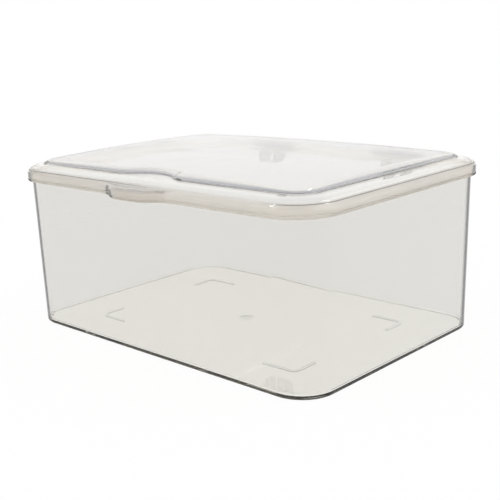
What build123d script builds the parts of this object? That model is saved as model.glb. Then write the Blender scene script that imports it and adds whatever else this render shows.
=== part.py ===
from build123d import *
import os
from math import atan2, cos, degrees, hypot, radians, tan

# A clear moulded storage box with a lid that hinges at the back.
# Millimetres, +Z up. The origin is on the ground, under the middle of the tub.
# The long front wall faces -Y and the two hinges are on the back wall, at +Y.

# Tub: a drafted box, wider at the top than at the floor
tub_length = 330.0
tub_width = 236.0
tub_height = 136.0
tub_corner_radius = 29.5
wall_draft = 1.04
wall_thickness = 2.2
floor_thickness = 2.4
floor_outer_radius = 2.0
floor_inner_radius = 2.5

# Rim: the flange turned out round the top of the tub
rim_overhang = 3.9
rim_thickness = 2.4
rim_top_radius = 0.5
rim_under_radius = 0.8

# Feet: four L-shaped ribs under the floor, corners outwards
foot_height = 1.0
foot_rib_width = 2.4
foot_leg_x = 30.0
foot_leg_y = 24.0
foot_bend_radius = 6.0
foot_end_radius = 1.7
foot_spacing_x = 233.0
foot_spacing_y = 148.0
foot_edge_radius = 0.3

# Gate mark: the shallow round recess in the middle of the underside
gate_radius = 7.0
gate_depth = 0.5

# Thumb tab: an S-curved bulge in the middle of the front edge
tab_width = 86.0
tab_flat = 16.0
tab_projection = 12.5
tab_catch = 1.0
tab_root = 1.0
tab_height = 6.5
tab_edge_radius = 2.7

# Lid border: a skirt, a round shoulder and a gentle slope that rises under the panel
seat_gap = 0.2
skirt_thickness = 2.4
shoulder_height = 8.6
shoulder_radius = 5.5
border_reach = 26.0
border_rise = 5.8
border_thickness = 2.4

# Raised panel of the lid: a sloping edge all round, then a slightly crowned top
panel_inset = 13.0
panel_corner_radius = 20.0
panel_draft = 45.0
panel_rise = 9.9
panel_thickness = 2.2
panel_edge_radius = 3.0
crown_radius = 3700.0

# Scallop: the panel's front edge draws in behind the thumb tab
scallop_width = 80.0
scallop_flat = 4.0
scallop_depth = 9.0

# Hinges: each is two ears on the tub, three knuckles on the lid, and a pin
hinge_spacing = 149.0
hinge_setback = 8.0
hinge_rise = 3.1
hinge_length = 50.0
pin_radius = 1.5
pin_end_radius = 0.3
running_clearance = 0.08
press_interference = 0.01
ear_spacing = 19.3
ear_thickness = 3.0
ear_eye_radius = 3.7
ear_drop = 13.6
ear_toe_reach = 10.0
ear_slant_height = 5.5
ear_web_thickness = 1.6
knuckle_radius = 3.2
knuckle_side_gap = 0.4
leaf_thickness = 2.4

# Stop: a heel on the middle knuckle meets a pad on the tub when the lid is open
open_angle = 110.0
heel_reach = 6.0
heel_thickness = 2.4
stop_clearance = 0.1
stop_pad_height = 5.0

# How far the feet reach up into the floor that carries them
foot_overlap = 0.8

# Heights and outlines that follow from the sizes above
draft_slope = tan(radians(wall_draft))
rim_z = foot_height + tub_height
rim_offset = tub_height * draft_slope + rim_overhang
rim_half_x = tub_length / 2 + rim_offset
rim_half_y = tub_width / 2 + rim_offset
rim_corner_radius = tub_corner_radius + rim_offset
lid_z = rim_z + seat_gap
shoulder_z = lid_z + shoulder_height
border_draft = degrees(atan2(border_reach, border_rise))
crown_z = shoulder_z + panel_rise
panel_shrink = panel_thickness * tan(radians(45 - panel_draft / 2))
hinge_y = rim_half_y + hinge_setback
hinge_z = rim_z + hinge_rise
back_wall_y = tub_width / 2 + (tub_height - ear_drop) * draft_slope
bore_radius = pin_radius - press_interference
eye_bore_radius = pin_radius + running_clearance
hinge_places = (-hinge_spacing / 2, hinge_spacing / 2)

# Brackets: their root is in the middle of the back wall
bracket_z = rim_z - ear_drop
bracket_root_y = back_wall_y - wall_thickness / 2
rim_middle_z = rim_z - rim_thickness / 2
web_reach = back_wall_y + ear_toe_reach - bracket_root_y

# The pad stands where the heel's lower corner is when the lid is fully open
heel_corner_radius = hypot(heel_reach, knuckle_radius)
heel_corner_angle = atan2(knuckle_radius, heel_reach) + radians(open_angle)
stop_face_y = hinge_y + heel_corner_radius * cos(heel_corner_angle) - stop_clearance

# Knuckles fill the hinge's length on both sides of the ears and between them
middle_knuckle_length = ear_spacing - ear_thickness - 2 * knuckle_side_gap
outer_knuckle_start = (ear_spacing + ear_thickness) / 2 + knuckle_side_gap
outer_knuckle_length = hinge_length / 2 - outer_knuckle_start
outer_knuckle_offset = outer_knuckle_start + outer_knuckle_length / 2
knuckle_rows = (
    (-outer_knuckle_offset, outer_knuckle_length, False),
    (0, middle_knuckle_length, True),
    (outer_knuckle_offset, outer_knuckle_length, False),
)


def lipped_outline(half_x, half_y, corner_radius, lip_width, lip_flat, lip_rise):
    """Rounded rectangle whose front edge swells out, or draws in where lip_rise is negative.

    Two equal arcs join the front edge to the flat of the lip on each side.
    """
    run = (lip_width - lip_flat) / 2
    rise = abs(lip_rise)
    bend = (run**2 + rise**2) / (4 * rise)
    turn = 2 * degrees(atan2(rise, run))
    if lip_rise < 0:
        turn = -turn
    lip_y = -half_y - lip_rise
    with BuildSketch(mode=Mode.PRIVATE) as outline:
        with BuildLine():
            flat = Line((0, lip_y), (lip_flat / 2, lip_y))
            near_bend = JernArc(flat @ 1, flat % 1, bend, turn)
            far_bend = JernArc(near_bend @ 1, near_bend % 1, bend, -turn)
            front = Line(far_bend @ 1, (half_x - corner_radius, -half_y))
            front_corner = JernArc(front @ 1, front % 1, corner_radius, 90)
            side = Line(front_corner @ 1, (half_x, half_y - corner_radius))
            back_corner = JernArc(side @ 1, side % 1, corner_radius, 90)
            Line(back_corner @ 1, (0, half_y))
            mirror(about=Plane.YZ)
        make_face()
    return outline.sketch


def rim_outline(projection):
    """Outline of the rim, with its lip in the middle of the front edge."""
    return lipped_outline(rim_half_x, rim_half_y, rim_corner_radius, tab_width, tab_flat, projection)


def plain_outline(outset):
    """Rounded rectangle that stands outset outside the tub's underside."""
    length = tub_length + 2 * outset
    width = tub_width + 2 * outset
    RectangleRounded(length, width, tub_corner_radius + outset)


def tab_outline(inset):
    """The lid's thumb tab with a strip of the lid behind it, shrunk by inset.

    Its bends start a little behind the lid's front face, so that the tab crosses that face.
    """
    root_half_y = rim_half_y - tab_root
    reach = tab_projection + tab_root
    outline = lipped_outline(rim_half_x, root_half_y, rim_corner_radius, tab_width, tab_flat, reach)
    with BuildSketch(mode=Mode.PRIVATE) as tab:
        add(outline)
        if inset:
            offset(amount=-inset)
        with Locations((0, -rim_half_y)):
            Rectangle(tab_width, tab_width, mode=Mode.INTERSECT)
    return tab.sketch


def outer_edges(face):
    """The edges of a face's outer boundary."""
    return face.outer_wire().edges()


def border_body(inset, drop, edge_radius):
    """Private solid of the lid's border, shrunk by inset and lowered by drop."""
    with BuildPart(mode=Mode.PRIVATE) as border:
        with BuildSketch(Plane.XY.offset(lid_z)):
            plain_outline(rim_offset - inset)
        extrude(amount=shoulder_height - drop)
        with BuildSketch(Plane.XY.offset(shoulder_z - drop)):
            plain_outline(rim_offset - inset)
        extrude(amount=border_rise, taper=border_draft)
        shoulder = border.edges().group_by(Axis.Z)[2]
        fillet(shoulder, edge_radius)
    return border.part


def panel_body(inset, drop, edge_radius):
    """Private solid of the raised panel, shrunk by inset and lowered by drop.

    It is extruded past its top, which a large sphere then cuts to the crown.
    """
    half_x = rim_half_x - panel_inset
    half_y = rim_half_y - panel_inset
    outline = lipped_outline(
        half_x, half_y, panel_corner_radius, scallop_width, scallop_flat, -scallop_depth
    )
    with BuildPart(mode=Mode.PRIVATE) as panel:
        with BuildSketch(Plane.XY.offset(shoulder_z - drop)):
            add(outline)
            if inset:
                offset(amount=-inset)
        extrude(amount=panel_rise + panel_thickness, taper=panel_draft)
        with Locations((0, 0, crown_z - drop - crown_radius)):
            Sphere(crown_radius, rotation=(0, 90, 0), mode=Mode.INTERSECT)
        if edge_radius:
            crown = panel.faces().filter_by(GeomType.SPHERE)[0]
            fillet(outer_edges(crown), edge_radius)
    return panel.part


def foot_ribs():
    """The four L-shaped ribs in plan, with small round ends."""
    corner_x = foot_spacing_x / 2
    corner_y = foot_spacing_y / 2
    ends = [(corner_x - foot_leg_x, corner_y), (corner_x, corner_y - foot_leg_y)]
    with BuildSketch(mode=Mode.PRIVATE) as ribs:
        with BuildLine():
            FilletPolyline(ends[0], (corner_x, corner_y), ends[1], radius=foot_bend_radius)
        trace(line_width=foot_rib_width)
        with Locations(*ends):
            Circle(foot_end_radius)
        mirror(about=Plane.YZ)
        mirror(about=Plane.XZ)
    return ribs.sketch


def ear_outline():
    """An ear from the side, Y to the right and Z up: a tapered plate that ends in a round eye."""
    inner_y = hinge_y - ear_eye_radius
    outer_y = hinge_y + ear_eye_radius
    with BuildSketch(mode=Mode.PRIVATE) as ear:
        with BuildLine():
            Polyline(
                (inner_y, hinge_z),
                (inner_y, rim_middle_z),
                (bracket_root_y, rim_middle_z),
                (bracket_root_y, bracket_z),
                (back_wall_y + ear_toe_reach, bracket_z),
                (outer_y, bracket_z + ear_slant_height),
                (outer_y, hinge_z),
            )
            ThreePointArc((outer_y, hinge_z), (hinge_y, hinge_z + ear_eye_radius), (inner_y, hinge_z))
        make_face()
        with Locations((hinge_y, hinge_z)):
            Circle(eye_bore_radius, mode=Mode.SUBTRACT)
    return ear.sketch


def knuckle_outline(heel):
    """A knuckle from the side with the leaf that joins it to the lid, and its heel where it has one."""
    leaf_reach = hinge_y - rim_half_y + skirt_thickness / 2
    with BuildSketch(mode=Mode.PRIVATE) as knuckle:
        with Locations((hinge_y, hinge_z)):
            Circle(knuckle_radius)
        with Locations((hinge_y, hinge_z + knuckle_radius)):
            Rectangle(leaf_reach, leaf_thickness, align=(Align.MAX, Align.MAX))
        if heel:
            with Locations((hinge_y, hinge_z - knuckle_radius)):
                Rectangle(heel_reach, heel_thickness, align=(Align.MIN, Align.MIN))
        with Locations((hinge_y, hinge_z)):
            Circle(bore_radius, mode=Mode.SUBTRACT)
    return knuckle.sketch


# Tub
with BuildPart() as tub:
    # Outer body
    with BuildSketch(Plane.XY.offset(foot_height)):
        plain_outline(0)
    extrude(amount=tub_height, taper=-wall_draft)
    fillet(outer_edges(tub.faces().sort_by(Axis.Z)[0]), floor_outer_radius)

    # Rim, with its lip under the lid's thumb tab
    with BuildSketch(Plane.XY.offset(rim_z - rim_thickness)):
        add(rim_outline(tab_projection - tab_catch))
    extrude(amount=rim_thickness)
    rim_under = tub.faces().filter_by(Plane.XY).sort_by(Axis.Z)[-2]
    fillet(outer_edges(rim_under), rim_under_radius)
    fillet(outer_edges(tub.faces().sort_by(Axis.Z)[-1]), rim_top_radius)

    # Inside, drafted like the outside
    with BuildSketch(Plane.XY.offset(foot_height + floor_thickness)):
        plain_outline(floor_thickness * draft_slope - wall_thickness)
    extrude(amount=tub_height, taper=-wall_draft, mode=Mode.SUBTRACT)
    floor_top = tub.faces().filter_by(Plane.XY).sort_by(Axis.Z)[1]
    fillet(outer_edges(floor_top), floor_inner_radius)

    # Hinge brackets: two ears, the web between their toes and the pad that stops the lid
    for hinge_x in hinge_places:
        for ear_x in (hinge_x - ear_spacing / 2, hinge_x + ear_spacing / 2):
            with BuildSketch(Plane.YZ.offset(ear_x)):
                add(ear_outline())
            extrude(amount=ear_thickness / 2, both=True)
        with BuildSketch(Plane.XY.offset(bracket_z)):
            with Locations((hinge_x, bracket_root_y)):
                Rectangle(ear_spacing, web_reach, align=(Align.CENTER, Align.MIN))
        extrude(amount=ear_web_thickness)
        with BuildSketch(Plane.XY.offset(rim_z - rim_top_radius)):
            with Locations((hinge_x, bracket_root_y)):
                Rectangle(ear_spacing, stop_face_y - bracket_root_y, align=(Align.CENTER, Align.MIN))
        extrude(amount=-stop_pad_height)

    # Feet
    with BuildSketch():
        add(foot_ribs())
    extrude(amount=foot_height + foot_overlap)
    fillet(tub.edges().group_by(Axis.Z)[0], foot_edge_radius)

    # Gate mark
    with BuildSketch(Plane.XY.offset(foot_height)):
        Circle(gate_radius)
    extrude(amount=gate_depth, mode=Mode.SUBTRACT)

# Lid
with BuildPart() as lid:
    # Thumb tab, whose front edge is two bends and two halves of the flat on each side
    with BuildSketch(Plane.XY.offset(lid_z)):
        add(tab_outline(0))
    extrude(amount=tab_height)
    tab_edges = lid.faces().sort_by(Axis.Z)[-1].edges().sort_by(Axis.Y)[:6]
    fillet(tab_edges, tab_edge_radius)

    # Border and raised panel
    add(border_body(0, 0, shoulder_radius))
    add(panel_body(0, 0, panel_edge_radius))

    # Hollow underside
    with BuildSketch(Plane.XY.offset(lid_z)):
        add(tab_outline(skirt_thickness))
    extrude(amount=tab_height - border_thickness, mode=Mode.SUBTRACT)
    add(
        border_body(skirt_thickness, border_thickness, shoulder_radius - skirt_thickness),
        mode=Mode.SUBTRACT,
    )
    add(panel_body(panel_shrink, panel_thickness, 0), mode=Mode.SUBTRACT)

    # Knuckles, the middle one with the heel that stops the lid
    for hinge_x in hinge_places:
        for knuckle_offset, knuckle_length, heel in knuckle_rows:
            with BuildSketch(Plane.YZ.offset(hinge_x + knuckle_offset)):
                add(knuckle_outline(heel))
            extrude(amount=knuckle_length / 2, both=True)

# Pins, pressed into the knuckles and free to turn in the ears
pins = []
for hinge_x in hinge_places:
    with BuildPart(Plane.YZ.offset(hinge_x)) as pin:
        with Locations((hinge_y, hinge_z)):
            Cylinder(pin_radius, hinge_length)
        fillet(pin.edges().filter_by(GeomType.CIRCLE), pin_end_radius)
    pins.append(pin)

os.makedirs("parts", exist_ok=True)
nodes = {"tub": tub, "lid": lid, "left_hinge_pin": pins[0], "right_hinge_pin": pins[1]}
for name, node in nodes.items():
    node.part.label = name
    export_step(node.part, f"parts/{name}.step")
    print(name, len(node.part.solids()), "solid", round(node.part.volume), "mm3")
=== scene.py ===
import math

import bpy
from mathutils import Matrix, Vector


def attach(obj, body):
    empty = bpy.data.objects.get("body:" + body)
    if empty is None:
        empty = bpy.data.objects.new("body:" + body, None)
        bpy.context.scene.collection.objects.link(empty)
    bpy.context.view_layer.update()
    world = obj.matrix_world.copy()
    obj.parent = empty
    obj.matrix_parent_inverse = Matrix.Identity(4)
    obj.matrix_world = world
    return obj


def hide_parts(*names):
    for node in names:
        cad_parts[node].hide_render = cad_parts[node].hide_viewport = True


# A clear moulded storage box with a hinged lid, on a white sweep of paper.
# Lengths are written in millimetres and scaled to metres as they enter a mesh or a material.
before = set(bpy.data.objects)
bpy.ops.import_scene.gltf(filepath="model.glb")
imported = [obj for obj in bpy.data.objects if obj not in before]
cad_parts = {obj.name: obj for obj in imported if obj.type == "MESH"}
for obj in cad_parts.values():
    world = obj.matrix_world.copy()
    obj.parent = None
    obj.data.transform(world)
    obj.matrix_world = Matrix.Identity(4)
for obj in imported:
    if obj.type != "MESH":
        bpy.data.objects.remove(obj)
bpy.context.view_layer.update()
mm = 0.001

# Rim of the lid, in plan
rim_half_x = 171.36
rim_half_y = 124.36
rim_corner = 35.87
lid_bottom = 137.2

# Spacing of the points along the lid's front and its other sides, the steps round each corner,
# and the outward normal's y below which a point belongs to the front
front_step = 2.0
side_step = 6.0
corner_steps = 24
front_normal_y = -0.99

# Lid section: skirt, tight bend, long border slope, panel edge and crown
skirt_wall = 2.4
skirt_top = 141.4
bend_rise = 2.1
bend_reach = 0.6
slope_rise = 7.2
slope_reach = 8.5
inner_skirt_top = 139.5
inner_bend_rise = 4.0
inner_bend_reach = 2.2
inner_slope_rise = 4.9
inner_slope_reach = 9.0
panel_foot = 16.2
panel_wall = 2.2
panel_step_back = 6.6
crest_blend = 2.6
foot_blend = 0.5
crown_top = 155.6
crown_drop_ends = 2.2
crown_drop_sides = 2.2
crown_half_x = 150.0
crown_half_y = 104.0

# Thumb tab and the scallop behind it
tab_reach = 12.5
tab_half = 43.0
tab_half_flat = 8.0
tab_blend = 0.3
tab_top = 143.9
tab_edge_drop = 4.0
tab_edge_share = 0.36
tab_inner_rise = 1.7
tab_inner_share = 0.176
scallop_depth = 9.0
scallop_half = 40.0
scallop_half_flat = 2.0
scallop_start = 5.0
scallop_lean_step = 0.5

# Rings of the lid, by how far each lies inside the rim. The crown is one ring shrunk towards
# the middle again and again, and crown_scallops is how much of the scallop each copy keeps.
crown_inset = 30.0
crown_shrinks = (0.04, 0.12, 0.22, 0.33, 0.44, 0.55, 0.65, 0.74, 0.81, 0.87, 0.92, 0.96, 1.0)
crown_scallops = (0, 0, 0, 0, 0, 0, 0, 0.05, 0.2, 0.4, 0.65, 0.85, 1.0)
panel_insets = (27.5, 25.5, 24, 23, 22, 21.2, 20.4, 19.6, 18.8, 18, 17.2, 16.6, 16.2)
border_insets = (15.6, 14, 12, 10, 8, 6.5, 5.2, 4.2, 3.4, 2.8, 2.3, 1.8, 1.5, 1.2)
inner_border_insets = (4.5, 5.0, 5.9, 7.0)
inner_slope_insets = (8.5, 10, 12, 14, 16.2, 18, 19.5)
inner_panel_insets = (20.5, 21.3, 22, 22.6, 23.2, 23.8, 24.5, 25.3, 26.2, 27.2, 28.5)

# Rings that grow into the tab, each with its share of the tab's reach, and the rounded edge
edge_steps = 8
edge_inset = 0.3
inner_edge_inset = 0.6
tab_root_rings = ((1.0, 0.08), (0.8, 0.22), (0.6, 0.36), (0.42, 0.5), (edge_inset, 0.6))
tab_hollow_rings = ((3.3, 0.8), (3.7, 0.7), (4.1, 0.55), (4.3, 0.35))

# Rings down the skirt, by their height and their height on the tab, and the skirt's foot
skirt_rings = ((140.0, 139.2), (138.7, 138.4), (137.7, 137.7))
skirt_foot_outer = 0.25
skirt_foot_inner = 0.2
skirt_foot_top = 138.0

# Hinges
hinge_places = {"left": -74.5, "right": 74.5}
hinge_y = 132.37
hinge_z = 140.1
knuckle_radius = 3.2
knuckle_rounding = 0.3
bore_radius = 1.53
middle_length = 15.5
outer_length = 13.45
outer_offset = 18.275
leaf_thickness = 2.4
leaf_gap = 0.03
heel_reach = 5.99
cylinder_sides = 40

# Points of the lid closer than this are one
weld_distance = 0.002

# Faces that meet at less than this are shaded as one, and sharper edges of a knuckle are rounded
lid_smooth_degrees = 32
knuckle_smooth_degrees = 30
knuckle_edge_degrees = 40

# Tones of the lid, the tub and the hinges, painted reflection and painted shade among them
clear_tone = "#FFFFFE"
panel_tone = "#F5F4F3"
# A dark line along the skirt's top: painted shade
rim_line_shade_tone = "#6E6A68"
# A grey blue stripe round the panel's edge: a painted reflection
stripe_reflection_tone = "#B3B7C0"
skirt_tone = "#F0EBE3"
wall_tone = "#F0EFED"
floor_tone = "#F9F8F3"
# Walls seen end on are painted this dark, as painted shade
painted_end_shade = "#161617"
# The feet are painted in this grey as painted shade; the gate mark and the hinge brackets take it
# too
feet_shade_and_mark_tone = "#A3A29E"
hinge_tone = "#BCBDC1"
# Knuckles seen end on are painted this grey, as painted shade
hinge_painted_end_shade = "#8F9095"
pane_tone = "#FAF9F7"

# What light takes on in the depth of the plastic, and how fast
lid_depth = "#C8C0B0"
lid_density = 14.0
hinge_depth = "#A8A9AB"
hinge_density = 90.0
tub_depth = "#D6D3CB"
tub_density = 30.0

# How much the plastic bends light, how rough its faces are, and the ripple of a moulded face
acrylic_ior = 1.49
polished = 0.02
satin = 0.55
ripple_scale = 18.0
ripple_strength = 0.3
ripple_height = 0.4

# Tones of the lid's panel, by how far a place lies inside the panel's foot. The stripe, a painted
# reflection, is only on the upper face, and a place this near to that face is on it.
stripe_in = (-1.0, -0.2)
stripe_out = (1.8, 3.6)
panel_in = (3.0, 6.0)
top_tolerance = 0.3

# Tones of the skirt and of the painted-shade dark line above it, by height. In front of line_front
# the line fades out to the right and comes back at the corner, by how far to the right a place lies.
skirt_out = (143.9, 144.5)
line_in = (144.16, 144.46)
line_out = (144.77, 145.12)
line_front = -88.0
line_left = (-45.0, 25.0)
line_right = (130.0, 150.0)

# Tones of the tub's lip and feet, the feet's being painted shade, by height, of its gate mark, by
# distance from the middle and by height, and of its hinge brackets, by how far back a place lies
lip_in = (134.3, 134.6)
foot_out = (0.9, 1.0)
gate_out = (4.0, 6.0)
gate_above = (1.6, 1.8)
gate_share = 0.5
bracket_in = (121.5, 122.5)
bracket_share = 0.6

# How far a face leans before it counts as level, and how slantwise a wall is seen end on, where it
# is painted dark as painted shade
upright_out = (0.3, 0.55)
grazing_in = (0.55, 0.68)

# Paper floor, in metres: near the box a share of it is matte and takes the shadow
paper_tone = "#FAFAFA"
paper_size = 40
paper_matte_out = (0.22, 0.6)
paper_white_near = 0.92

# Studio
white = "#FFFFFF"
ceiling_tone = "#B4B7C0"
ceiling_in = (0.45, 0.85)
ambient_strength = 0.8

# Soft lamps, in metres and watts
softbox_width = 0.2
softbox_height = 0.7
softbox_power = 6.0
softbox_places = {"key": (-0.9, -1.3, 1.5), "fill": (1.0, 1.0, 1.7)}
softbox_target = (0, 0, 0.1)

# How often a ray of light may turn inside the plastic
light_turns = 120

# Camera, as measured on the photograph
focal_length = 65.05
sensor_width = 36.0
shift_x = 0.0843
shift_y = 0.0043
camera_azimuth = math.radians(45.268)
camera_elevation = math.radians(14.232)
camera_roll = math.radians(-2.597)
camera_distance = 808.75
camera_target = Vector((-21.4, -25.8, 67.0))


def linear(hex_colour):
    """The linear RGBA of an sRGB hex colour."""
    parts = [int(hex_colour[i:i + 2], 16) / 255 for i in (1, 3, 5)]
    return [c / 12.92 if c <= 0.04045 else ((c + 0.055) / 1.055) ** 2.4 for c in parts] + [1]


def add_node(owner, kind, settings=None, links=None):
    """Adds a node to a material or world, with its settings and what feeds its inputs."""
    node = owner.node_tree.nodes.new(kind)
    for name, value in (settings or {}).items():
        if isinstance(name, int) or name in node.inputs:
            node.inputs[name].default_value = value
        else:
            setattr(node, name, value)
    for name, source in (links or {}).items():
        owner.node_tree.links.new(source, node.inputs[name])
    return node


def clear_nodes(owner):
    """Gives a new material or world an empty node tree."""
    owner.use_nodes = True
    owner.node_tree.nodes.clear()


def compute(owner, operation, *values):
    """What a math node makes of one or two values."""
    links = dict(enumerate(values))
    return add_node(owner, "ShaderNodeMath", {"operation": operation}, links).outputs[0]


def add_range(owner, value, span, to_low=0.0, to_high=1.0):
    """Eases from to_low to to_high as value goes through span."""
    settings = {"interpolation_type": "SMOOTHSTEP", "From Min": span[0], "From Max": span[1]}
    settings |= {"To Min": to_low, "To Max": to_high}
    return add_node(owner, "ShaderNodeMapRange", settings, {"Value": value}).outputs[0]


def metres(span):
    """A span of millimetres in metres, as the nodes measure."""
    return span[0] * mm, span[1] * mm


def mixed(owner, share, first, second):
    """The colour that goes from first, a colour or another node's output, to second by share.

    Sockets 6 and 7 of the node are its two colours, and output 2 is the mixed one.
    """
    settings = {"data_type": "RGBA", 7: linear(second)}
    links = {0: share}
    if isinstance(first, str):
        settings[6] = linear(first)
    else:
        links[6] = first
    return add_node(owner, "ShaderNodeMix", settings, links).outputs[2]


def own_place(owner):
    """A place in the object's own axes, in metres."""
    return add_node(owner, "ShaderNodeTexCoord").outputs["Object"]


def own_distance(owner):
    """How far a place is from the object's own origin."""
    links = {0: own_place(owner)}
    return add_node(owner, "ShaderNodeVectorMath", {"operation": "LENGTH"}, links).outputs["Value"]


def along(owner, axis):
    """How far along one of the object's own axes a place is."""
    return add_node(owner, "ShaderNodeSeparateXYZ", links={0: own_place(owner)}).outputs[axis]


def upright(material):
    """1 on walls that stand upright, 0 on level faces."""
    normal = add_node(material, "ShaderNodeNewGeometry").outputs["Normal"]
    lean = add_node(material, "ShaderNodeSeparateXYZ", links={0: normal}).outputs["Z"]
    return add_range(material, compute(material, "ABSOLUTE", lean), upright_out, 1.0, 0.0)


def end_on(material):
    """How far an upright wall is seen end on, where light runs along inside it and it is painted
    dark as painted shade.
    """
    facing = add_node(material, "ShaderNodeLayerWeight").outputs["Facing"]
    grazing = add_range(material, facing, grazing_in)
    looked_at = add_node(material, "ShaderNodeLightPath").outputs["Is Camera Ray"]
    return compute(
        material, "MULTIPLY", compute(material, "MULTIPLY", grazing, upright(material)), looked_at
    )


def lip(material):
    """1 on the flange round the top of the tub, 0 below it."""
    return add_range(material, along(material, "Z"), metres(lip_in))


def feet_shade_and_marks(material):
    """Where the feet, greyed as painted shade, the gate mark and the two hinge brackets of the tub
    are.
    """
    height = along(material, "Z")
    foot = add_range(material, height, metres(foot_out), 1.0, 0.0)
    gate = add_range(material, own_distance(material), metres(gate_out), gate_share, 0.0)
    under = add_range(material, height, metres(gate_above), 1.0, 0.0)
    gate = compute(material, "MULTIPLY", gate, under)
    bracket = add_range(material, along(material, "Y"), metres(bracket_in), 0.0, bracket_share)
    return compute(material, "MAXIMUM", compute(material, "MAXIMUM", foot, gate), bracket)


def ripple(material):
    """The slight unevenness of a moulded face, which bends what is seen through it."""
    noise = add_node(
        material,
        "ShaderNodeTexNoise",
        {"Scale": ripple_scale, "Detail": 1.0},
        {"Vector": own_place(material)},
    )
    settings = {"Strength": ripple_strength, "Distance": ripple_height * mm}
    return add_node(material, "ShaderNodeBump", settings, {"Height": noise.outputs[0]}).outputs[0]


def lit_through(material, plastic):
    """Plastic that lamps and the floor's own bounces pass straight through: the floor stays lit."""
    ray = add_node(material, "ShaderNodeLightPath").outputs
    passing = compute(material, "MAXIMUM", ray["Is Shadow Ray"], ray["Is Diffuse Ray"])
    pane = add_node(material, "ShaderNodeBsdfTransparent", {"Color": linear(pane_tone)})
    links = {0: passing, 1: plastic, 2: pane.outputs[0]}
    return add_node(material, "ShaderNodeMixShader", links=links).outputs[0]


def clear_plastic(
    name, depth_colour, depth_density, tint=clear_tone, tone=None, walls=None, dark=painted_end_shade
):
    """Acrylic, moulded against polished steel: clear, with a warm grey in its depth.

    Where tone names a colour attribute, each face takes up its tone from it, a painted reflection
    and painted shade among them, and its alpha tells where the mould was satin. Where walls is a
    colour, upright faces have it, the lip at their top is satin and tan like the lid's skirt, the
    feet are greyer as painted shade, the gate mark and the hinge brackets are greyer than the rest,
    and walls seen end on are painted dark, as painted shade.
    """
    material = bpy.data.materials.new(name)
    clear_nodes(material)
    shade = tint
    look = {"Normal": ripple(material)}
    if tone:
        stored = add_node(material, "ShaderNodeAttribute", {"attribute_name": tone}).outputs
        shade = stored["Color"]
        look["Roughness"] = add_range(material, stored["Alpha"], (0.0, 1.0), polished, satin)
        look["Coat Weight"] = stored["Alpha"]
    if walls:
        shade = mixed(material, upright(material), tint, walls)
        shade = mixed(material, feet_shade_and_marks(material), shade, feet_shade_and_mark_tone)
        shade = mixed(material, lip(material), shade, skirt_tone)
        look["Roughness"] = add_range(material, lip(material), (0.0, 1.0), polished, satin)
    # Walls seen end on are painted dark: painted shade where light runs along inside them
    look["Base Color"] = mixed(material, end_on(material), shade, dark)
    settings = {"Roughness": polished, "IOR": acrylic_ior, "Transmission Weight": 1.0}
    plastic = add_node(material, "ShaderNodeBsdfPrincipled", settings, look).outputs[0]
    settings = {"Color": linear(depth_colour), "Density": depth_density}
    depth = add_node(material, "ShaderNodeVolumeAbsorption", settings).outputs[0]
    links = {"Surface": lit_through(material, plastic), "Volume": depth}
    add_node(material, "ShaderNodeOutputMaterial", links=links)
    return material


def smooth(t):
    """Eases from 0 to 1 as t does."""
    t = min(max(t, 0), 1)
    return t * t * (3 - 2 * t)


def eased(value, span):
    """Eases from 0 to 1 as value goes through span."""
    return smooth((value - span[0]) / (span[1] - span[0]))


def swell(x, half, half_flat, rise):
    """Height at x of a flat-topped swell whose two flanks are each two equal arcs."""
    run = half - half_flat
    bend = (run**2 + rise**2) / (4 * rise)
    t = min(max(abs(x) - half_flat, 0), run)
    if t < run / 2:
        return rise - bend + math.sqrt(bend**2 - t**2)
    return bend - math.sqrt(bend**2 - (run - t) ** 2)


def scallop_swell(x):
    """How far the scallop reaches back into the panel."""
    return swell(x, scallop_half, scallop_half_flat, scallop_depth)


def rim_points():
    """Places and outward normals round the rim: front, right, back and left in turn."""
    straight_x = rim_half_x - rim_corner
    straight_y = rim_half_y - rim_corner
    sides = (
        (Vector((-straight_x, -rim_half_y)), Vector((straight_x, -rim_half_y)), -90, front_step),
        (Vector((rim_half_x, -straight_y)), Vector((rim_half_x, straight_y)), 0, side_step),
        (Vector((straight_x, rim_half_y)), Vector((-straight_x, rim_half_y)), 90, side_step),
        (Vector((-rim_half_x, straight_y)), Vector((-rim_half_x, -straight_y)), 180, side_step),
    )
    points = []
    for start, end, heading, step in sides:
        count = round((end - start).length / step)
        normal = Vector((math.cos(math.radians(heading)), math.sin(math.radians(heading))))
        for i in range(count + 1):
            points.append((start.lerp(end, i / count), normal))
        middle = end - normal * rim_corner
        for i in range(1, corner_steps):
            turn = math.radians(heading + 90 * i / corner_steps)
            normal = Vector((math.cos(turn), math.sin(turn)))
            points.append((middle + normal * rim_corner, normal))
    return points


def inside_by(x, y, inset):
    """How far a point lies inside the rim's outline drawn in by inset."""
    corner = rim_corner - inset
    dx = abs(x) - (rim_half_x - rim_corner)
    dy = abs(y) - (rim_half_y - rim_corner)
    if dx > 0 and dy > 0:
        return corner - math.hypot(dx, dy)
    return corner - max(dx, dy)


def ease(rise, reach, d):
    """A rise that is steep at d = 0 and levels out over a few times its reach."""
    return rise * (1 - math.exp(-max(d, 0) / reach))


def border_top(d):
    """Height of the border's upper face, by how far a point lies inside the rim."""
    return skirt_top + ease(bend_rise, bend_reach, d) + ease(slope_rise, slope_reach, d)


def border_under(d):
    """Height of the border's under face, by how far a point lies inside the rim."""
    e = d - skirt_wall
    bend = ease(inner_bend_rise, inner_bend_reach, e)
    return inner_skirt_top + bend + ease(inner_slope_rise, inner_slope_reach, e)


def crown(x, y):
    """Height of the gently crowned panel."""
    ends = crown_drop_ends * (x / crown_half_x) ** 2
    sides = crown_drop_sides * (y / crown_half_y) ** 2
    return crown_top - ends - sides


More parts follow.
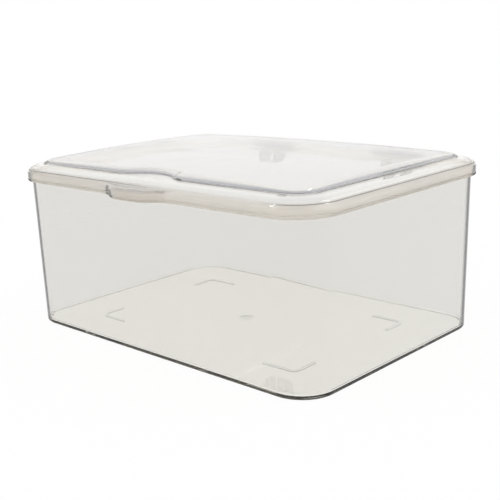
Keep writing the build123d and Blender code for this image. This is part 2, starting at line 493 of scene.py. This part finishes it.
def panel_depth(x, y):
    """How far a point lies inside the panel's foot, scallop included."""
    depth = inside_by(x, y, panel_foot)
    if y < 0 and abs(x) < scallop_half:
        here = scallop_swell(x)
        there = scallop_swell(abs(x) + scallop_lean_step)
        lean = math.hypot(1, (here - there) / scallop_lean_step)
        depth = min(depth, (y + rim_half_y - panel_foot - here) / lean)
    return depth


def soft_min(a, b):
    """The lower of two heights, rounded where they cross."""
    mix = min(max(0.5 + 0.5 * (b - a) / crest_blend, 0), 1)
    return b + (a - b) * mix - crest_blend * mix * (1 - mix)


def soft_max(a, b):
    """The higher of two heights, rounded where they cross."""
    mix = min(max(0.5 + 0.5 * (a - b) / foot_blend, 0), 1)
    return b + (a - b) * mix + foot_blend * mix * (1 - mix)


def top_height(x, y):
    """Height of the lid's upper face: border, panel edge and crown."""
    edge = border_top(panel_foot) + panel_depth(x, y)
    return soft_max(border_top(inside_by(x, y, 0)), soft_min(edge, crown(x, y)))


def under_height(x, y):
    """Height of the lid's under face: border, panel edge and crown."""
    edge = border_top(panel_foot) + panel_depth(x, y) - panel_step_back
    return soft_max(border_under(inside_by(x, y, 0)), soft_min(edge, crown(x, y) - panel_wall))


def scallop_share(inset):
    """How much of the scallop a ring of the lid takes: all of it along the panel's edge."""
    return eased(inset, (scallop_start, panel_foot))


def ring(points, inset, height, tab_share=0.0, tab_height=None, shrink=1.0, scallop=None):
    """One ring of the lid, in metres. Its height is a number, or a function of x and y.

    The thumb tab pushes its front out by tab_share of the tab's reach and takes it to tab_height.
    """
    if scallop is None:
        scallop = scallop_share(inset)
    places = []
    for place, normal in points:
        x, y = (place - normal * inset) * shrink
        tab = 0.0
        if normal.y < front_normal_y:
            y += scallop * scallop_swell(place.x)
            tab = swell(place.x, tab_half, tab_half_flat, tab_reach)
        z = height(x, y) if callable(height) else height
        if tab_height is not None:
            z += (tab_height - z) * smooth(tab / tab_reach / tab_blend)
        places.append((x * mm, (y - tab_share * tab) * mm, z * mm))
    return places


def crown_rings(points, height):
    """The panel's rings, from the middle outwards."""
    return [
        ring(points, crown_inset, height, shrink=shrink, scallop=scallop)
        for shrink, scallop in zip(crown_shrinks, crown_scallops)
    ]


def lid_rings():
    """The lid's rings from the middle of its top, over the rim, to the middle of its underside."""
    points = rim_points()
    rings = crown_rings(points, top_height)
    rings += [ring(points, inset, top_height) for inset in panel_insets + border_insets]
    for inset, share in tab_root_rings:
        rings.append(ring(points, inset, border_top(inset), share, tab_top))
    for i in range(1, edge_steps + 1):
        turn = math.pi / 2 * i / edge_steps
        inset = edge_inset * (1 - i / edge_steps)
        share = 1 - tab_edge_share * (1 - math.sin(turn))
        height = tab_top - tab_edge_drop * (1 - math.cos(turn))
        rings.append(ring(points, inset, border_top(inset), share, height))
    for z, tab_z in skirt_rings:
        rings.append(ring(points, 0, z, 1.0, tab_z))
    rings.append(ring(points, skirt_foot_outer, lid_bottom, 1.0))
    rings.append(ring(points, skirt_wall - skirt_foot_inner, lid_bottom, 1.0))
    rings.append(ring(points, skirt_wall, skirt_foot_top, 1.0))
    for i in range(edge_steps + 1):
        turn = math.pi / 2 * i / edge_steps
        inset = skirt_wall + inner_edge_inset * i / edge_steps
        share = 1 - tab_inner_share * (1 - math.cos(turn))
        height = tab_top - tab_edge_drop + tab_inner_rise * math.sin(turn)
        rings.append(ring(points, inset, border_under(inset), share, height))
    tab_ceiling = tab_top - tab_edge_drop + tab_inner_rise
    for inset, share in tab_hollow_rings:
        rings.append(ring(points, inset, border_under(inset), share, tab_ceiling))
    rings += [ring(points, inset, border_under(inset)) for inset in inner_border_insets]
    under_insets = inner_slope_insets + inner_panel_insets
    rings += [ring(points, inset, under_height) for inset in under_insets]
    rings += reversed(crown_rings(points, under_height))
    return rings


def loft(name, rings, first, last):
    """A closed mesh through rings of equal length, with a middle point at each end."""
    count = len(rings[0])
    vertices = [first] + [place for places in rings for place in places] + [last]
    faces = []
    for i in range(count):
        j = (i + 1) % count
        faces.append((0, 1 + i, 1 + j))
        for k in range(len(rings) - 1):
            this, after = 1 + k * count, 1 + (k + 1) * count
            faces.append((this + i, after + i, after + j, this + j))
        this = 1 + (len(rings) - 1) * count
        faces.append((this + i, len(vertices) - 1, this + j))
    mesh = bpy.data.meshes.new(name)
    mesh.from_pydata(vertices, [], faces)
    piece = bpy.data.objects.new(name, mesh)
    bpy.context.scene.collection.objects.link(piece)
    return piece


def only(piece):
    """Selects one object and nothing else."""
    bpy.ops.object.select_all(action="DESELECT")
    piece.select_set(True)
    bpy.context.view_layer.objects.active = piece


def tidy_shell(piece, degrees):
    """Turns the faces outwards and smooths what meets at less than an angle."""
    only(piece)
    bpy.ops.object.mode_set(mode="EDIT")
    bpy.ops.mesh.select_all(action="SELECT")
    bpy.ops.mesh.remove_doubles(threshold=weld_distance * mm)
    bpy.ops.mesh.normals_make_consistent(inside=False)
    bpy.ops.object.mode_set(mode="OBJECT")
    bpy.ops.object.shade_smooth_by_angle(angle=math.radians(degrees))


def rim_line(x, y, z):
    """How much of the dark line of painted shade along the skirt's top a place has.

    On the front it fades out behind the tab and comes back at the right corner.
    """
    share = eased(z, line_in) * (1 - eased(z, line_out))
    if y < line_front:
        share *= max(1 - eased(x, line_left), eased(x, line_right))
    return share


def tone_lid(piece):
    """Stores the lid's tones, and in their alpha where the skirt is.

    The panel's edge has a grey blue stripe of painted reflection, the skirt is tan with a dark line
    of painted shade above it, the rest clear.
    """
    names = (clear_tone, panel_tone, stripe_reflection_tone, skirt_tone, rim_line_shade_tone)
    clear, pale, blue, tan, line = (Vector(linear(tone)[:3]) for tone in names)
    tones = piece.data.color_attributes.new("tones_and_painted_light", "FLOAT_COLOR", "POINT")
    for vertex, entry in zip(piece.data.vertices, tones.data):
        x, y, z = vertex.co / mm
        rise = panel_depth(x, y)
        stripe = 0.0
        if abs(z - top_height(x, y)) < top_tolerance:
            stripe = eased(rise, stripe_in) * (1 - eased(rise, stripe_out))
        tone = clear.lerp(pale, eased(rise, panel_in)).lerp(blue, stripe)
        skirt = 1 - eased(z, skirt_out)
        tone = tone.lerp(tan, skirt)
        if inside_by(x, y, 0) < skirt_wall:
            tone = tone.lerp(line, rim_line(x, y, z))
        entry.color = (*tone, skirt)


lid_plastic = clear_plastic(
    "moulded_clear_acrylic_lid", lid_depth, lid_density, tone="tones_and_painted_light"
)
knuckle_plastic = clear_plastic(
    "moulded_clear_acrylic_knuckle", hinge_depth, hinge_density, hinge_tone, dark=hinge_painted_end_shade
)
tub_plastic = clear_plastic(
    "moulded_clear_acrylic_tub", tub_depth, tub_density, floor_tone, walls=wall_tone
)

lid = loft(
    "lid_shell",
    lid_rings(),
    (0, 0, top_height(0, 0) * mm),
    (0, 0, under_height(0, 0) * mm),
)
tidy_shell(lid, lid_smooth_degrees)
tone_lid(lid)
lid.data.materials.append(lid_plastic)
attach(lid, "lid")
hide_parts("lid")


def apply_boolean(piece, tool, operation):
    """Joins or cuts piece with tool, which is then removed."""
    only(piece)
    change = piece.modifiers.new("change", "BOOLEAN")
    change.operation = operation
    change.object = tool
    bpy.ops.object.modifier_apply(modifier=change.name)
    bpy.data.objects.remove(tool)


def cylinder_along_x(x, length, radius):
    """A cylinder on the hinges' axis."""
    bpy.ops.object.select_all(action="DESELECT")
    bpy.ops.mesh.primitive_cylinder_add(
        vertices=cylinder_sides,
        radius=radius * mm,
        depth=length * mm,
        location=(x * mm, hinge_y * mm, hinge_z * mm),
        rotation=(0, math.pi / 2, 0),
    )
    bpy.ops.object.transform_apply(location=True, rotation=True, scale=True)
    return bpy.context.object


def block(low, high):
    """A box between two corners."""
    low, high = Vector(low) * mm, Vector(high) * mm
    bpy.ops.object.select_all(action="DESELECT")
    bpy.ops.mesh.primitive_cube_add(size=1, location=(low + high) / 2)
    bpy.context.object.scale = high - low
    bpy.ops.object.transform_apply(location=True, rotation=True, scale=True)
    return bpy.context.object


def knuckle(name, x, length, heel):
    """A knuckle with its leaf to the lid's skirt, bored for the pin."""
    piece = cylinder_along_x(x, length, knuckle_radius)
    piece.name = name
    leaf_top = hinge_z + knuckle_radius
    leaf = block(
        (x - length / 2, rim_half_y + leaf_gap, leaf_top - leaf_thickness),
        (x + length / 2, hinge_y, leaf_top),
    )
    apply_boolean(piece, leaf, "UNION")
    if heel:
        heel_bottom = hinge_z - knuckle_radius
        foot = block(
            (x - length / 2, hinge_y, heel_bottom),
            (x + length / 2, hinge_y + heel_reach, heel_bottom + leaf_thickness),
        )
        apply_boolean(piece, foot, "UNION")
    apply_boolean(piece, cylinder_along_x(x, 2 * length, bore_radius), "DIFFERENCE")
    only(piece)
    rounding = piece.modifiers.new("rounding", "BEVEL")
    rounding.width = knuckle_rounding * mm
    rounding.segments = 2
    rounding.limit_method = "ANGLE"
    rounding.angle_limit = math.radians(knuckle_edge_degrees)
    bpy.ops.object.modifier_apply(modifier=rounding.name)
    bpy.ops.object.shade_smooth_by_angle(angle=math.radians(knuckle_smooth_degrees))
    piece.data.materials.clear()
    piece.data.materials.append(knuckle_plastic)
    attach(piece, "lid")


for side, hinge_x in hinge_places.items():
    knuckle(f"{side}_hinge_outer_knuckle", hinge_x - outer_offset, outer_length, False)
    knuckle(f"{side}_hinge_middle_knuckle", hinge_x, middle_length, True)
    knuckle(f"{side}_hinge_inner_knuckle", hinge_x + outer_offset, outer_length, False)

for name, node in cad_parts.items():
    node.data.materials.clear()
    node.data.materials.append(tub_plastic if name == "tub" else knuckle_plastic)

# Floor: white paper. Seen directly or through the plastic it shows as the white background,
# and near the box a share of it is plain matte paper, which keeps the box's shadow.
bpy.ops.object.select_all(action="DESELECT")
bpy.ops.mesh.primitive_plane_add(size=paper_size)
floor = bpy.context.object
floor.name = "floor"
paper = bpy.data.materials.new("white_matte_paper")
clear_nodes(paper)
ray = add_node(paper, "ShaderNodeLightPath").outputs
looking = compute(paper, "MAXIMUM", ray["Is Camera Ray"], ray["Is Glossy Ray"])
looking = compute(paper, "MAXIMUM", looking, ray["Is Transmission Ray"])
white_share = add_range(paper, own_distance(paper), paper_matte_out, paper_white_near, 1.0)
shown = compute(paper, "MULTIPLY", looking, white_share)
matte = add_node(paper, "ShaderNodeBsdfDiffuse", {"Color": linear(paper_tone)}).outputs[0]
backdrop = add_node(
    paper, "ShaderNodeEmission", {"Color": linear(white), "Strength": 1.0}
).outputs[0]
sheet = add_node(paper, "ShaderNodeMixShader", links={0: shown, 1: matte, 2: backdrop}).outputs[0]
add_node(paper, "ShaderNodeOutputMaterial", links={"Surface": sheet})
floor.data.materials.append(paper)

# Studio: white round the horizon, a grey blue ceiling, two soft lamps
world = bpy.data.worlds.new("studio")
bpy.context.scene.world = world
clear_nodes(world)
direction = add_node(world, "ShaderNodeTexCoord").outputs["Generated"]
height = add_node(world, "ShaderNodeSeparateXYZ", links={0: direction}).outputs["Z"]
sky = mixed(world, add_range(world, height, ceiling_in), white, ceiling_tone)
ray = add_node(world, "ShaderNodeLightPath").outputs
seen = add_node(world, "ShaderNodeBackground", {"Strength": 1.0}, {"Color": sky}).outputs[0]
ambient = add_node(
    world, "ShaderNodeBackground", {"Color": linear(white), "Strength": ambient_strength}
).outputs[0]
glow = add_node(
    world, "ShaderNodeMixShader", links={0: ray["Is Diffuse Ray"], 1: seen, 2: ambient}
).outputs[0]
add_node(world, "ShaderNodeOutputWorld", links={"Surface": glow})


def softbox(name, place):
    """A tall soft lamp that shines from place towards the box."""
    lamp = bpy.data.lights.new(name, "AREA")
    lamp.shape = "RECTANGLE"
    lamp.size = softbox_width
    lamp.size_y = softbox_height
    lamp.energy = softbox_power
    holder = bpy.data.objects.new(name, lamp)
    bpy.context.scene.collection.objects.link(holder)
    holder.location = place
    aim = Vector(softbox_target) - Vector(place)
    holder.rotation_euler = aim.to_track_quat("-Z", "Y").to_euler()


for lamp_name, lamp_place in softbox_places.items():
    softbox(lamp_name, lamp_place)

# Camera
eye = Vector((
    math.sin(camera_azimuth) * math.cos(camera_elevation),
    -math.cos(camera_azimuth) * math.cos(camera_elevation),
    math.sin(camera_elevation),
))
camera_data = bpy.data.cameras.new("camera")
camera_data.lens = focal_length
camera_data.sensor_width = sensor_width
camera_data.shift_x = shift_x
camera_data.shift_y = shift_y
camera = bpy.data.objects.new("camera", camera_data)
bpy.context.scene.collection.objects.link(camera)
level_right = (-eye).cross(Vector((0, 0, 1))).normalized()
level_up = level_right.cross(-eye)
right = math.cos(camera_roll) * level_right + math.sin(camera_roll) * level_up
up = -math.sin(camera_roll) * level_right + math.cos(camera_roll) * level_up
turn = Matrix((right, up, eye)).transposed().to_4x4()
camera.matrix_world = Matrix.Translation((camera_target + eye * camera_distance) * mm) @ turn
bpy.context.scene.camera = camera

bpy.context.scene.view_settings.view_transform = "Standard"

# Light that runs along inside the plastic turns many times before it comes out
cycles = bpy.context.scene.cycles
cycles.max_bounces = light_turns
cycles.transmission_bounces = light_turns
cycles.glossy_bounces = light_turns
